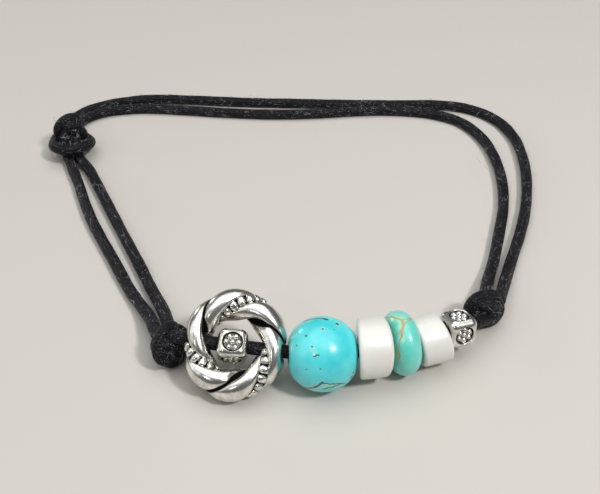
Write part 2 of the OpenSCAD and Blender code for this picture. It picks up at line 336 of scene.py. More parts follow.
def waxed_cotton(cord):
    """Braided cotton thread, dyed black and waxed: a nearly black body with a soft wax gloss, a
    fine braid with painted shade in the valleys between its yarns, and pale ends of fibre that
    catch the light, painted as glints."""
    m = start_material("black_waxed_cotton")
    uv = add_node(m, "TexCoord", output="UV")
    along = add_node(m, "SeparateXYZ", {0: uv}, "X")
    around = add_node(m, "SeparateXYZ", {0: uv}, "Y")
    # Eight yarns each way, each going once round the thread's 5.655 mm in 6 mm of its length
    wave = 2 * math.pi * 8
    yarns = []
    for way in (1, -1):
        turn = add_node(m, "Math", {0: along, 1: way * wave / 6}, operation="MULTIPLY")
        turn = add_node(m, "Math", {0: around, 1: wave / 5.655, 2: turn},
                        operation="MULTIPLY_ADD")
        yarns.append(add_node(m, "Math", {0: turn}, operation="SINE"))
    braid = add_node(m, "Math", {0: yarns[0], 1: yarns[1]}, operation="MULTIPLY")
    crest = add_node(m, "MapRange", {"Value": braid, "From Min": -1.0, "From Max": 1.0})
    position = add_node(m, "TexCoord", output="Object")
    # Fibre ends of about 0.15 mm, coarser than real lint so that they show, in patches of 2.5 mm,
    # painted pale as glints of light
    lint = add_node(m, "TexNoise",
                    {"Vector": position, "Scale": 6500, "Detail": 2, "Roughness": 0.6})
    patch = add_node(m, "TexNoise", {"Vector": position, "Scale": 420, "Detail": 2})
    ends = add_node(m, "MapRange", {"Value": lint, "From Min": 0.6, "From Max": 0.7},
                    interpolation_type="SMOOTHSTEP")
    share = add_node(m, "MapRange", {"Value": patch, "From Min": 0.38, "From Max": 0.62,
                                     "To Min": 0.03, "To Max": 0.4})
    speck = add_node(m, "Math", {0: ends, 1: share}, operation="MULTIPLY")
    # Painted shade: the valleys between the yarns are near black, and the crests take the thread
    # colour
    body = add_node(m, "Mix", {0: crest, 6: linear("#020203"), 7: cord.thread_colour}, 2,
                    data_type="RGBA")
    # Painted highlight: the fibre ends take the pale glint colour
    colour = add_node(m, "Mix", {0: speck, 6: body, 7: cord.fibre_glint_colour}, 2, data_type="RGBA")
    height = add_node(m, "Math", {0: lint, 1: 0.8, 2: braid}, operation="MULTIPLY_ADD")
    relief = add_node(m, "Bump", {"Height": height, "Strength": 0.8, "Distance": 0.06 * MM})
    rough = add_node(m, "MapRange", {"Value": patch, "From Min": 0.3, "From Max": 0.7,
                                     "To Min": 0.42, "To Max": 0.62})
    return finish_material(m, {
        "Base Color": colour, "Roughness": rough, "Normal": relief, "IOR": 1.45,
        "Specular IOR Level": 0.2, "Sheen Weight": 0.03, "Sheen Roughness": 0.4,
        "Sheen Tint": linear("#c9c8dc"),
    })


def cotton_fibre(cord):
    """Single cotton fibres: dull, with dark stretches and pale stretches of about 1 mm, the pale
    ones painted glints of light.
    """
    m = start_material("cotton_fibre")
    position = add_node(m, "TexCoord", output="Object")
    shade = add_node(m, "TexNoise", {"Vector": position, "Scale": 900, "Detail": 1})
    share = add_node(m, "MapRange", {"Value": shade, "From Min": 0.42, "From Max": 0.62})
    # Painted highlight: the pale stretches stand for glints along the fibres
    colour = add_node(m, "Mix", {0: share, 6: linear("#1b1b20"), 7: cord.fibre_glint_colour}, 2,
                      data_type="RGBA")
    return finish_material(m, {"Base Color": colour, "Roughness": 0.6, "Sheen Weight": 0.3})


def antique_silver(metal):
    """Cast zinc alloy plated with silver and left dark in the hollows: bright and smooth where
    it is rubbed, nearly black and dull in the grooves."""
    m = start_material("antique_silver_plate")
    position = add_node(m, "TexCoord", output="Object")
    groove = add_node(m, "Attribute", output="Fac", attribute_name="groove")
    # Casting grain of 0.2 mm and rubbed patches of 1.5 mm
    grain = add_node(m, "TexNoise",
                     {"Vector": position, "Scale": 4500, "Detail": 3, "Roughness": 0.6})
    patch = add_node(m, "TexNoise",
                     {"Vector": position, "Scale": 650, "Detail": 3, "Roughness": 0.55})
    uneven = add_node(m, "Math", {0: grain, 1: 0.24, 2: groove}, operation="MULTIPLY_ADD")
    dark = add_node(m, "MapRange", {"Value": uneven, "From Min": 0.62, "From Max": 1.02},
                    interpolation_type="SMOOTHSTEP")
    worn = add_node(m, "MapRange", {"Value": patch, "From Min": 0.38, "From Max": 0.62})
    plate = add_node(m, "Mix", {0: worn, 6: metal.shade_colour, 7: metal.silver_colour}, 2,
                     data_type="RGBA")
    colour = add_node(m, "Mix", {0: dark, 6: plate, 7: metal.oxide_colour}, 2, data_type="RGBA")
    rubbed = add_node(m, "MapRange", {"Value": patch, "From Min": 0.3, "From Max": 0.7,
                                      "To Min": 0.3, "To Max": 0.18})
    rough = add_node(m, "MapRange", {"Value": dark, "To Min": rubbed, "To Max": 0.75})
    relief = add_node(m, "Bump", {"Height": grain, "Strength": 0.25, "Distance": 0.03 * MM})
    return finish_material(m, {"Base Color": colour, "Metallic": 1.0, "Roughness": rough,
                               "Normal": relief})


def polished_stone(name, pale, deep, vein, gloss):
    """Dyed or plain howlite, tumbled and polished: an even waxy colour with soft clouds, fine
    veins and pinholes, under a glassy polish."""
    m = start_material(name)
    position = add_node(m, "TexCoord", output="Object")
    marks = add_node(m, "Attribute", output="Fac", attribute_name="vein")
    stain_and_highlight = add_node(m, "Attribute", output="Fac", attribute_name="stain_and_highlight")
    # Clouds of 4 mm, and veins with an edge ragged by 0.4 mm
    cloud = add_node(m, "TexNoise",
                     {"Vector": position, "Scale": 260, "Detail": 4, "Roughness": 0.55})
    ragged = add_node(m, "TexNoise", {"Vector": position, "Scale": 2600, "Detail": 2})
    share = add_node(m, "MapRange", {"Value": cloud, "From Min": 0.35, "From Max": 0.65})
    ground = add_node(m, "Mix", {0: share, 6: deep, 7: pale}, 2, data_type="RGBA")
    # Stains are beige where the dye is thin; on the barrel one of them is a painted highlight
    ground = add_node(m, "Mix", {0: stain_and_highlight, 6: ground, 7: linear("#a9d6b4")}, 2,
                      data_type="RGBA")
    edge = add_node(m, "Math", {0: ragged, 1: 0.5, 2: marks}, operation="MULTIPLY_ADD")
    line = add_node(m, "MapRange", {"Value": edge, "From Min": 0.5, "From Max": 0.8},
                    interpolation_type="SMOOTHSTEP")
    colour = add_node(m, "Mix", {0: line, 6: ground, 7: vein}, 2, data_type="RGBA")
    rough = add_node(m, "MapRange", {"Value": line, "To Min": gloss, "To Max": 0.55})
    depth = add_node(m, "Math", {0: line, 1: -1.0}, operation="MULTIPLY")
    relief = add_node(m, "Bump", {"Height": depth, "Strength": 0.5, "Distance": 0.04 * MM})
    return finish_material(m, {
        "Base Color": colour, "Roughness": rough, "Normal": relief, "IOR": 1.6,
        "Subsurface Weight": 0.12, "Subsurface Scale": 0.6 * MM,
        "Subsurface Radius": (1.0, 1.0, 1.0), "Coat Weight": 0.5, "Coat Roughness": 0.07,
    })


# Settings


class AnkletThreads(bpy.types.PropertyGroup):
    """Thread and knots."""

    thread_d: length(1.8, "Thread", "Diameter of the waxed thread", 1.0, 3.0)
    knot_left_d: length(5.2, "Left knot", "Thickness of the knot beside the ring", 3, 8)
    knot_right_d: length(5.0, "Right knot", "Thickness of the knot at the row's end", 3, 8)
    closure_d: length(5.1, "Closure knot", "Thickness of the closing knot", 3, 8)
    fibres: bpy.props.IntProperty(name="Fibres", description="Loose fibres for each mm of thread",
                                  default=9, min=0, max=20)
    thread_colour: tint("#0e0e12", "Thread colour", "Waxed cotton on the crest of a yarn")
    fibre_glint_colour: tint("#c9c9d8", "Fibre colour", "Fibre ends that catch the light")


class AnkletMetal(bpy.types.PropertyGroup):
    """Silver ring and cubes."""

    ring_w: length(13.9, "Ring width", "Along the thread", 8, 20)
    ring_h: length(15.0, "Ring height", "Across the thread", 8, 20)
    ring_t: length(4.6, "Ring thickness", "Front to back", 2, 8)
    window_w: length(6.3, "Window width", "Along the thread", 4, 9)
    window_h: length(6.4, "Window height", "Across the thread", 4, 9)
    lobe_rise: length(0.8, "Lobe relief", "Height of a lobe above the grooves", 0.1, 1.5)
    pearl_r: length(0.68, "Row bead radius", "Radius of the cast beads in a row", 0.1, 0.8)
    cube: length(4.0, "Cube in the window", "Side of the cube", 3, 5)
    cube_end: length(4.2, "Cube at the end", "Side of the cube", 3, 5)
    silver_colour: tint("#f2efe8", "Silver", "Rubbed silver plate")
    shade_colour: tint("#c9c6bf", "Dull silver", "Less rubbed silver plate")
    oxide_colour: tint("#1c1814", "Oxide", "Dark finish in the grooves")


class AnkletStones(bpy.types.PropertyGroup):
    """Stone beads."""

    barrel_d: length(9.95, "Barrel", "Diameter", 8, 12)
    barrel_len: length(9.2, "Barrel length", "Face to face", 8, 12)
    white_large_d: length(8.2, "Large white bead", "Diameter", 6, 10)
    rondelle_d: length(8.8, "Rondelle", "Diameter", 6, 11)
    white_small_d: length(6.8, "Small white bead", "Diameter", 5, 9)
    hole_d: length(3.0, "Holes", "Diameter of the hole through a stone", 1.5, 3.2)
    blue: tint("#57dbdf", "Blue turquoise", "Barrel, pale clouds")
    blue_deep: tint("#38c6cd", "Deep blue turquoise", "Barrel, deep clouds")
    green: tint("#78d4cd", "Green turquoise", "Rondelle, pale clouds")
    green_deep: tint("#4fc4ae", "Deep green turquoise", "Rondelle, deep clouds")
    white: tint("#dbdad4", "White stone", "White beads, pale clouds")
    white_deep: tint("#d5d3cc", "Grey white stone", "White beads, grey clouds")
    vein: tint("#4e4a22", "Vein", "Brown veins and specks of the barrel")
    green_vein: tint("#ab9560", "Rust vein", "Rusty veins of the rondelle")


# Camera


class ANKLET_OT_camera(bpy.types.Operator):
    """Camera at the photograph's angle, 40 degrees down"""

    bl_idname = "anklet.camera"
    bl_label = "Camera"

    def execute(self, context):
        data = bpy.data.cameras.new("camera")
        data.sensor_fit = "HORIZONTAL"
        data.sensor_width = 36.0
        # 871 pixels of focal length on a picture 600 pixels wide
        data.lens = 36.0 * 871 / 600
        data.clip_start = 0.005
        data.clip_end = 5.0
        camera = bpy.data.objects.new("camera", data)
        camera.location = (0.0023, -0.1121, 0.089)
        camera.rotation_euler = (math.radians(50), 0, 0)
        context.collection.objects.link(camera)
        context.scene.camera = camera
        return {"FINISHED"}


# Threads and knots


def thread_piece(name, route, node, tail, cord, material):
    """A thread along its route, with a straight tail at each end that goes on into the knots."""
    route = np.asarray(route, float)
    out = route[0] + unit(route[0] - route[1]) * tail
    back = route[-1] + unit(route[-1] - route[-2]) * tail
    path = smooth_path(np.vstack([out, route, back]), PATH_STEP)
    path[:, 2] = np.maximum(path[:, 2], cord.thread_d / 2)
    run = np.arange(len(path)) * PATH_STEP
    # A hand-waxed thread is a few hundredths thicker and thinner by turns
    radius = cord.thread_d / 2 * (1 + 0.02 * np.sin(run / 2.3) + 0.015 * np.sin(run / 0.9 + 1.0))
    points, faces, pairs, period = tube(path, radius, (0, 0, 1))
    obj = make_mesh(name, points, faces, material, node,
                    uv=(pairs, (0, period)))


class ANKLET_OT_threads(bpy.types.Operator):
    """Threads along their routes and the thread through the beads"""

    bl_idname = "anklet.threads"
    bl_label = "Threads"

    def execute(self, context):
        cord = chosen(context.scene.anklet_threads)
        cotton = waxed_cotton(cord)
        # Piece, route, node that it replaces, tail in mm, far end
        for name, route, node, tail, far_end in (
            ("strand_outer_thread", OUTER_ROUTE, "strand_outer", 1.4, "object"),
            ("strand_inner_thread", INNER_ROUTE, "strand_inner", 1.4, "object"),
            ("loop_thread", LOOP_ROUTE, "loop_cord", 1.4, "object"),
            ("bead_thread", BEAD_ROUTE, "bead_cord", 1.6, None),
        ):
            thread_piece(name, route, node, tail, cord, cotton)
        return {"FINISHED"}


def knot_turns(at, axis, knot_d, thread_d, shifts, over):
    """Paths of a knot's threads. One goes round the axis once for each shift, at radius
    (knot - thread) / 2: its place along the axis slides from shift to shift and swings by the
    tangent of 19 degrees, first one way and then the other. over are turns that cross it
    slantwise, up to 0.45 of a thread further out: the angle of the middle in radians, and the
    slant in mm."""
    down = unit(np.cross(np.cross(axis, (0, 0, 1)), axis)) * -1
    across = np.cross(axis, down)
    radius = (knot_d - thread_d) / 2
    turns = len(shifts)
    turn = np.linspace(0, 1, 60 * turns)
    angle = 2 * np.pi * turns * turn + 0.6
    place = np.interp(turn, np.linspace(0, 1, turns), shifts)
    swing = radius * math.tan(math.radians(19)) * np.sin(angle) * np.cos(np.pi * turns * turn)
    paths = [(radius, angle, place + swing)]
    sweep = np.linspace(-1.0, 1.0, 60)
    lift = radius + 0.45 * thread_d * np.cos(sweep * np.pi / 2) ** 0.5 - 0.12
    for middle, slant in over:
        paths.append((lift, middle + sweep * 1.35, slant * np.sin(sweep * np.pi / 2)))
    return [np.asarray(at) + np.outer(r * np.cos(a), down) + np.outer(r * np.sin(a), across)
            + np.outer(z, axis) for r, a, z in paths]


def ball(at, axis, radius, half):
    """Closed ball, radius wide about the axis and half long along it, in rings from pole to
    pole: at + radius cos b (cos a side + sin a other) + half sin b axis."""
    rows, columns = 17, 32
    b = np.linspace(-np.pi / 2 + 0.02, np.pi / 2 - 0.02, rows)[:, None]
    a = np.linspace(0, 2 * np.pi, columns, endpoint=False)[None, :]
    side = unit(np.cross(axis, (0.3, 0.2, 1.0)))
    other = np.cross(axis, side)
    r = radius * np.cos(b)
    points = (np.asarray(at) + (r * np.cos(a))[..., None] * side
              + (r * np.sin(a))[..., None] * other
              + (half * np.sin(b) * np.ones_like(a))[..., None] * axis)
    return points.reshape(-1, 3), close_ends(quads(rows, columns), rows, columns)


class ANKLET_OT_knots(bpy.types.Operator):
    """Three knots, each a thread wound round itself with turns laid over"""

    bl_idname = "anklet.knots"
    bl_label = "Knots"

    def execute(self, context):
        cord = chosen(context.scene.anklet_threads)
        cotton = bpy.data.materials["black_waxed_cotton"]
        # Node, centre, axis, thickness, shifts along the axis, turns laid over
        for node, at, towards, size, shifts, over in (
            ("knot_left", KNOT_LEFT_AT, (-0.5, 0.87, 0), cord.knot_left_d,
             [-1.6, -0.5, 0.6, 1.7], [(2.6, 1.5), (5.4, -1.3)]),
            ("knot_right", KNOT_RIGHT_AT, (0.25, 1, 0), cord.knot_right_d,
             [-1.4, -0.5, 0.4, 1.3], [(2.9, 1.3), (5.6, -1.2)]),
            ("closure_knot", CLOSURE_AT, (-0.2, 1, 0.35), cord.closure_d,
             [-0.9, 0, 0.9], [(2.7, 1.0), (5.9, 0.9)]),
        ):
            axis = unit(np.array(towards, float))
            parts, pairs, period = [], [], 0
            for path in knot_turns(at, axis, size, cord.thread_d, shifts, over):
                path = evenly(path, KNOT_STEP)
                path[:, 2] = np.maximum(path[:, 2], cord.thread_d / 2)
                away = path - np.asarray(at)
                up = unit(away - np.outer(away @ axis, axis))
                points, faces, uv, period = tube(path, cord.thread_d / 2, up, 0.9)
                parts.append((points, faces))
                pairs.append(uv)
            core = ball(at, axis, size / 2 - cord.thread_d * 0.45, max(shifts) + 0.9)
            parts.append(core)
            pairs.append(np.zeros((len(core[0]), 2)))
            points, faces = joined(parts)
            make_mesh(f"{node}_turns", points, faces, cotton, node,
                      uv=(np.concatenate(pairs), (0, period)))
        return {"FINISHED"}


def fibre_tubes(paths, radius):
    """Three-sided tubes about many short paths at once: p + r (cos a side + sin a top) about
    each point p, where r falls to 0.35 of the radius at the tip. paths has the shape fibres,
    points, 3."""
    count, steps = paths.shape[:2]
    direction = unit(np.gradient(paths, axis=1))
    side = unit(np.cross(direction, (0.31, 0.52, 0.8)))
    top = np.cross(side, direction)
    taper = radius * np.linspace(1, 0.35, steps)[None, :, None, None]
    angle = np.array([0, 2 * np.pi / 3, 4 * np.pi / 3])
    ring = np.cos(angle)[:, None] * side[:, :, None] + np.sin(angle)[:, None] * top[:, :, None]
    points = (paths[:, :, None] + ring * taper).reshape(-1, 3)
    sides = quads(steps, 3)
    tip = 3 * steps - 3
    one = np.vstack([sides[:, [0, 1, 2]], sides[:, [0, 2, 3]], [[0, 2, 1]],
                     [[tip, tip + 1, tip + 2]]])
    faces = (one[None] + (np.arange(count) * steps * 3)[:, None, None]).reshape(-1, 3)
    return points, faces


class ANKLET_OT_fibres(bpy.types.Operator):
    """Loose fibres that stand off the threads and knots"""

    bl_idname = "anklet.fibres"
    bl_label = "Fibres"

    def execute(self, context):
        cord = chosen(context.scene.anklet_threads)
        rng = np.random.default_rng(7)
        roots, outs, lines, reach = [], [], [], []
        for route in (OUTER_ROUTE, INNER_ROUTE, LOOP_ROUTE):
            path = smooth_path(route, 0.1)
            path[:, 2] = np.maximum(path[:, 2], cord.thread_d / 2)
            direction, side, top = frames(path, (0, 0, 1))
            count = int(line_length(path) * cord.fibres)
            pick = rng.integers(1, len(path) - 1, count)
            turn = rng.uniform(-0.35, np.pi + 0.35, count)
            out = np.cos(turn)[:, None] * side[pick] + np.sin(turn)[:, None] * top[pick]
            roots.append(path[pick] + out * cord.thread_d * 0.49)
            outs.append(out)
            lines.append(direction[pick])
            reach.append(rng.gamma(2.0, 0.28, count))
        for at, size in ((KNOT_LEFT_AT, cord.knot_left_d), (KNOT_RIGHT_AT, cord.knot_right_d),
                         (CLOSURE_AT, cord.closure_d)):
            count = 60 * cord.fibres
            out = unit(rng.normal(size=(count, 3)) + np.array([0, 0, 0.4]))
            roots.append(np.asarray(at) + out * size * 0.46)
            outs.append(out)
            lines.append(unit(np.cross(out, rng.normal(size=(count, 3)))))
            reach.append(rng.gamma(2.0, 0.3, count))
        # Most fibres reach out less than 1 mm
        roots, outs, lines = (np.concatenate(v) for v in (roots, outs, lines))
        reach = np.clip(np.concatenate(reach), 0.2, 1.8)[:, None, None]
        fan = unit(lines * rng.choice([-1, 1], (len(roots), 1))
                   + rng.normal(scale=0.45, size=roots.shape))
        curl = rng.normal(scale=0.5, size=roots.shape)
        # Each fibre leaves along the thread, lifts off by a sine and curls by the square of t
        t = np.linspace(0, 1, 5)[None, :, None]
        paths = (roots[:, None] + fan[:, None] * t * reach
                 + outs[:, None] * (0.22 * np.sin(t * 2.2) * reach - 0.03)
                 + curl[:, None] * t**2 * reach * 0.35)
        paths[..., 2] = np.maximum(paths[..., 2], 0.03)
        stray = smooth_path(STRAY_FIBRE, 0.6)
        points, faces = joined([fibre_tubes(paths, 0.022), fibre_tubes(stray[None], 0.03)])
        make_mesh("loose_fibres", points, faces, cotton_fibre(cord))
        return {"FINISHED"}


# Silver


def ring_sweep(s):
    """How far a line of the relief has run round the ring at section angle s, in degrees: a
    third of s, and a little more over the front."""
    rad = np.radians(s)
    return s / 3 + 3 * (1 - np.cos(rad)) + 6 * np.sin(rad)


def ring_point(angle, s, rise, metal):
    """Point of the ring at angle a round it and s round its section, rise above the crests:
    (cos a (X - x cos s), sin a (Y - y cos s), z sin s), where X and Y are the half sizes to the
    middle of the section, and x, y and z the section's own, each with the rise added."""
    a, s = np.radians(angle), np.radians(s)
    mid_x, mid_y = (metal.ring_w + metal.window_w) / 4, (metal.ring_h + metal.window_h) / 4
    half_x = (metal.ring_w - metal.window_w) / 4 + rise
    half_y = (metal.ring_h - metal.window_h) / 4 + rise
    return np.stack([np.cos(a) * (mid_x - half_x * np.cos(s)),
                     np.sin(a) * (mid_y - half_y * np.cos(s)),
                     (metal.ring_t / 2 + rise) * np.sin(s)], axis=-1)


def row_beads(floor, row, s, metal):
    """Height of the cast beads of a row over its floor. Each is a cushion,
    h = 0.58 (1 - q^3.4)^(1/2), where q is (a^3 + b^3)^(1/3), a along the row and b across it as
    shares of its half sizes. Every point takes the highest of the three beads nearest to it."""
    step = 360 / 13
    height = np.zeros_like(s)
    for nearby in (-1, 0, 1):
        turn = (np.floor(s / step) + 0.5 + nearby) * step
        centre = ring_point(row - ring_sweep(turn), turn, -metal.lobe_rise, metal)
        ahead = ring_point(row - ring_sweep(turn + 1), turn + 1, -metal.lobe_rise, metal)
        away = floor - centre
        along = np.einsum("ijk,ijk->ij", away, unit(ahead - centre))
        beside = np.sqrt(np.clip((away**2).sum(-1) - along**2, 0, None))
        half_pitch = np.linalg.norm(ahead - centre, axis=-1) * step / 2
        # The row narrows towards the window
        wide = np.minimum(0.134 * np.hypot(centre[..., 0], centre[..., 1]), metal.pearl_r)
        share = ((np.abs(along) / (0.9 * half_pitch)) ** 3 + (beside / wide) ** 3) ** (1 / 3)
        height = np.maximum(height, 0.58 * np.sqrt(np.clip(1 - share**3.4, 0, None)))
    return height


class ANKLET_OT_wreath(bpy.types.Operator):
    """Cast ring twisted of smooth lobes and beaded rows"""

    bl_idname = "anklet.wreath"
    bl_label = "Wreath frame"

    def execute(self, context):
        metal = chosen(context.scene.anklet_metal)
        # A third of the ring: a beaded row of 20 degrees in 48 columns, then two lobes of 50
        # degrees in 36 columns each that lie closer together towards the grooves
        lobe_columns = 10 + 25 * (1 - np.cos(np.pi * np.arange(36) / 36))
        row_columns = np.linspace(-10, 10, 48, endpoint=False)
        third = np.concatenate([row_columns, lobe_columns, lobe_columns + 50])
        columns, steps = 360, 256
        pattern, s = np.meshgrid(np.concatenate([third, third + 120, third + 240]),
                                 np.arange(steps) * 360 / steps)
        across = (pattern + 10) % 120 - 10  # from the middle of a beaded row, degrees
        in_row = (across >= -10) & (across < 10)
        # A lobe is h = rise (1 - u^2)^(0.45), where u is -1 beside a row and 1 at the other lobe.
        # Towards the window two lobes that meet are narrower.
        t = np.clip((across - 10) % 50 / 50, 0, 1)
        u = np.where(across < 60, 2 * t - 1, 1 - 2 * t)
        narrow = 1 - 0.38 * smooth(0.3, 1, np.cos(np.radians(s - 18)))
        crest = np.sqrt(np.clip(1 - np.where(u > 0, u / narrow, u) ** 2, 0, 1)) ** 0.9
        angle = pattern - ring_sweep(s) + 130
        floor = ring_point(angle, s, -metal.lobe_rise, metal)
        pearl = row_beads(floor, pattern - across + 130, s, metal)
        rise = np.where(in_row, pearl, metal.lobe_rise * crest)
        points = ring_point(angle, s, rise - metal.lobe_rise, metal)
        # Holes for the thread, drilled along X: the wall goes back to 0.5 mm from its middle, and
        # the thread hides the rest
        drilled = smooth(1.32, 1.2, np.hypot(points[..., 1], points[..., 2]))
        middle = (metal.ring_w + metal.window_w) / 4
        bottom = np.where(np.abs(points[..., 0]) > middle, middle + 0.5, middle - 0.5)
        points[..., 0] += (np.sign(points[..., 0]) * bottom - points[..., 0]) * drilled
        # The dark finish comes up higher between two lobes than beside a row
        beside_row = np.where(across > 60, 110 - across, across - 10) < 6
        lobe_dark = 1 - np.where(beside_row, smooth(0.15, 0.65, crest), smooth(0.35, 0.92, crest))
        groove = np.where(in_row, 1 - smooth(0.12, 0.42, pearl), lobe_dark)
        make_mesh("wreath_frame_cast", placed(points.reshape(-1, 3), WREATH_AT),
                  quads(steps, columns, wrap_rows=True, shift=-120), antique_silver(metal),
                  "wreath_frame", values={"groove": np.maximum(groove, drilled)})
        return {"FINISHED"}


def cube_points(size, edge, hole_r, cells):
    """Rounded cube: each point of a cube's face is drawn in to a smaller cube and pushed out by
    the edge radius along the line between them. Four faces have a sunken disc with seven raised
    dots, caps of a ball. The two on X have the thread's hole, 1.3 mm deep, which the thread
    hides. Gives points, faces and the depth of the dark finish."""
    half = size / 2
    even = np.linspace(-1, 1, cells)
    line = np.sin(even * np.pi / 2) * 0.35 + even * 0.65
    u, v = np.meshgrid(line * half, line * half)
    disc_r, depth, dot_r, dot_circle = 1.34, 0.27, 0.345, 0.82
    turns = [math.radians(60 * k) for k in range(6)]
    spots = [(0, 0)] + [(dot_circle * math.cos(a), dot_circle * math.sin(a)) for a in turns]
    all_points, all_marks = [], []
    for axis in range(3):
        for sign in (-1, 1):
            q = np.stack([u, v, np.full_like(u, half)], axis=-1)
            inner = np.clip(q, edge - half, half - edge)
            p = inner + edge * unit(q - inner)
            away = np.hypot(p[..., 0], p[..., 1])
            if axis == 0:
                sunk = 1.3 * smooth(hole_r + 0.06, hole_r - 0.04, away)
                mark = smooth(hole_r + 0.1, hole_r - 0.1, away)
            else:
                sunk = depth * smooth(disc_r + 0.07, disc_r - 0.05, away)
                dots = np.zeros_like(away)
                for x, y in spots:
                    near = np.hypot(p[..., 0] - x, p[..., 1] - y)
                    dots = np.maximum(dots, 0.9 * np.sqrt(np.clip(dot_r**2 - near**2, 0, None)))
                # The dark finish fills the disc round its dots, deepest along the rim
                mark = smooth(disc_r + 0.09, disc_r - 0.04, away) * (1 - smooth(0.02, 0.16, dots))
                mark *= 0.79 + 0.21 * smooth(disc_r - 0.22, disc_r - 0.06, away)
                sunk = sunk - np.where(away < disc_r, dots, 0)
            p[..., 2] -= sunk
            if axis < 2:
                p = p[..., [[2, 0, 1], [1, 2, 0]][axis]]
            all_points.append((p * sign).reshape(-1, 3))
            all_marks.append(mark.ravel())
    faces, turned = quads(cells, cells, wrap_columns=False), []
    for k in range(6):
        turned.append((faces if k % 2 else faces[:, ::-1]) + k * cells * cells)
    return np.concatenate(all_points), np.concatenate(turned), np.concatenate(all_marks)


def weld(points, faces, values):
    """Points at the same place, to a thousandth of a millimetre, made one."""
    keys = np.round(points, 3) + 0.0
    _, first, back = np.unique(keys, axis=0, return_index=True, return_inverse=True)
    return points[first], back.reshape(-1)[faces], values[first]


class ANKLET_OT_cubes(bpy.types.Operator):
    """Silver cubes with a dotted disc on four sides"""

    bl_idname = "anklet.cubes"
    bl_label = "Cubes"

    def execute(self, context):
        metal = chosen(context.scene.anklet_metal)
        silver = bpy.data.materials["antique_silver_plate"]
        edge, hole_r, cells = 1.05, 1.3, 97
        for node, size, pose in (("cube_bead_in_frame", metal.cube, CUBE_IN_FRAME_AT),
                                 ("cube_bead_end", metal.cube_end, CUBE_END_AT)):
            points, faces, marks = weld(*cube_points(size, edge, hole_r, cells))
            make_mesh(f"{node}_cast", placed(points, pose), faces, silver, node,
                      values={"groove": marks})
        return {"FINISHED"}


# Stones

# Brown marks on the stones: lines or single specks in the bead's own frame, with a width in mm
BARREL_MARKS = [
    ([(-2.4, 2.4, 3.6), (-1.7, 2.2, 4.05), (-0.9, 2, 4.4), (-0.1, 1.9, 4.55), (0.45, 1.6, 4.65)],
     0.15),
    ([(-0.1, 1.9, 4.55), (0.45, 1.6, 4.65)], 0.24),
    ([(-2.45, -3.6, -2.35), (-1.8, -4.25, -1.8), (-1.05, -4.75, -0.95), (-0.5, -4.9, -0.1)], 0.17),
    ([(-0.5, -4.9, -0.1), (-0.1, -4.95, -0.15), (0.75, -4.9, -0.3), (1.7, -4.6, -0.55),
      (2.7, -3.95, -1.3)], 0.12),
    ([(-0.2, -4.7, -1.5), (0.35, -4.8, -1.2), (0.9, -4.75, -1.05), (1.75, -4.55, -0.95)], 0.15),
    ([(-1.5, -3.4, 3.25), (-1.25, -3.45, 3.35), (-0.95, -3.4, 3.45)], 0.12),
    ([(-0.45, -4.93, 0)], 0.26), ([(-0.3, -0.25, 4.95)], 0.2), ([(1.7, 0.85, 4.55)], 0.28),
    ([(-2.45, -0.9, 4.2)], 0.2), ([(-3.6, -1.45, 3.1)], 0.14), ([(-1.75, -2.5, 3.9)], 0.15),
    ([(-2.45, -4, 1.55)], 0.15), ([(-0.7, -4.45, 2)], 0.15), ([(1.2, -0.3, 4.8)], 0.1),
    ([(3.7, -3.3, 0.05)], 0.18), ([(3.55, -3.4, -0.8)], 0.36),
    # The far side, which the photo doesn't show
    ([(-1.5, 4.6, 1), (-0.4, 4.9, 0.5), (0.8, 4.85, 0.6), (2, 4.5, 0.9)], 0.15),
    ([(0.9, 4.5, -2), (1.7, 4, -2.4), (2.4, 3.2, -2.9)], 0.18), ([(-2.2, 3.9, -2.1)], 0.2),
    ([(0.2, 3.6, 3.4)], 0.17), ([(2.6, 3, 2.9)], 0.15),
]
RONDELLE_MARKS = [
    ([(-1.7, 2, 3.5), (-1.13, 1.47, 3.84), (-0.76, 0.61, 4.23), (-0.15, 0, 4.38),
      (0.67, 0, 4.28), (1.5, 0.5, 3.8)], 0.1),
    ([(-0.17, 0, 4.38), (-0.27, -0.96, 4.27), (-0.77, -1.57, 3.96), (-0.88, -2.15, 3.64)], 0.2),
    ([(-0.88, -2.15, 3.64), (-1.3, -2.39, 3.2), (-1.52, -2.85, 2.56), (-1.71, -3.26, 1.73),
      (-1.72, -3.57, 0.91)], 0.09),
    ([(-0.27, -0.96, 4.27), (0.26, -0.57, 4.33), (0.78, -0.21, 4.24), (1.4, 0.2, 3.9)], 0.09),
    ([(-1.7, -1.43, 3.41), (-1.27, -1.51, 3.74), (-0.75, -1.53, 3.98)], 0.07),
    ([(-1.74, -3.18, 1.84), (-1.56, -3.48, 1.53), (-1.69, -3.54, 1.07)], 0.13),
    # The far side, which the photo doesn't show
    ([(-1, 3.6, -2), (0.2, 4.1, -1.4), (1.2, 4, -0.6)], 0.15),
    ([(0.6, 4, 1.4), (0.2, 4.1, -1.4)], 0.1),
]
# Stains where the dye is thin, and on the barrel one painted highlight: centre, reach in mm,
# strength
BARREL_STAINS_AND_HIGHLIGHT = [
    ((-4.4, -0.5, 1.6), 1.3, 0.45), ((-4.1, 0.9, 2.6), 1.1, 0.4), ((-3.3, 2.4, 2.7), 1.3, 0.5),
    ((-1.6, 2.1, 4.1), 0.9, 0.5), ((-0.3, -0.25, 4.95), 0.45, 0.5), ((1.7, 0.85, 4.55), 0.5, 0.6),
    # Painted highlight: the first stain on the next line, at (-1.4, -3.15, 3.55), is a pale patch
    # where a soft highlight falls beside the brown mark
    ((-1.4, -3.15, 3.55), 0.5, 0.4), ((-1.75, -2.75, 3.8), 0.45, 0.5), ((-1.5, -4.4, -1.6), 1, 0.6),
    ((0.2, -4.85, -0.8), 1, 0.6), ((1.7, -4.5, -1), 0.9, 0.6), ((3.5, -3.4, -0.9), 0.5, 0.5),
]
